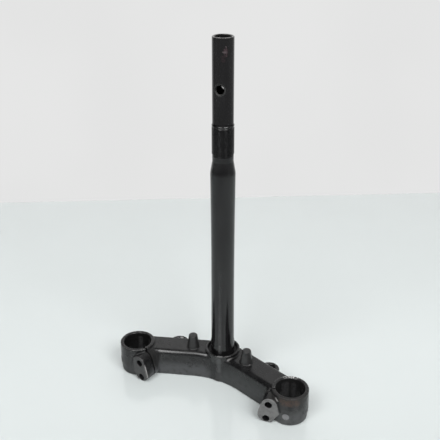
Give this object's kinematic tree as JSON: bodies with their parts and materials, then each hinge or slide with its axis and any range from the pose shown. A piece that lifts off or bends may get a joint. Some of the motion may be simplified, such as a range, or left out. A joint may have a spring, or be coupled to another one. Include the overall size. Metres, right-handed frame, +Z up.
{
  "type": "motorcycle triple clamp",
  "caption": "Lower motorcycle fork yoke: a swept forged bridge with a split clamp ring for each fork tube and a threaded steering stem standing in its middle boss.",
  "frame": {"origin": "on the stem axis, at the yoke's underside", "axes": "+Z up the steering stem, -Y to the front of the motorcycle, X across the two fork tubes"},
  "size_m": [0.2588, 0.0844, 0.436],
  "materials": {
    "yoke_paint": "semi-gloss black paint over a forged skin, worn on its edges",
    "stem_paint": "satin black on a drawn tube, worn at the upper rim"
  },
  "bodies": {
    "root": {"lower_yoke": "yoke_paint", "steering_stem": "stem_paint"}
  },
  "joints": []
}
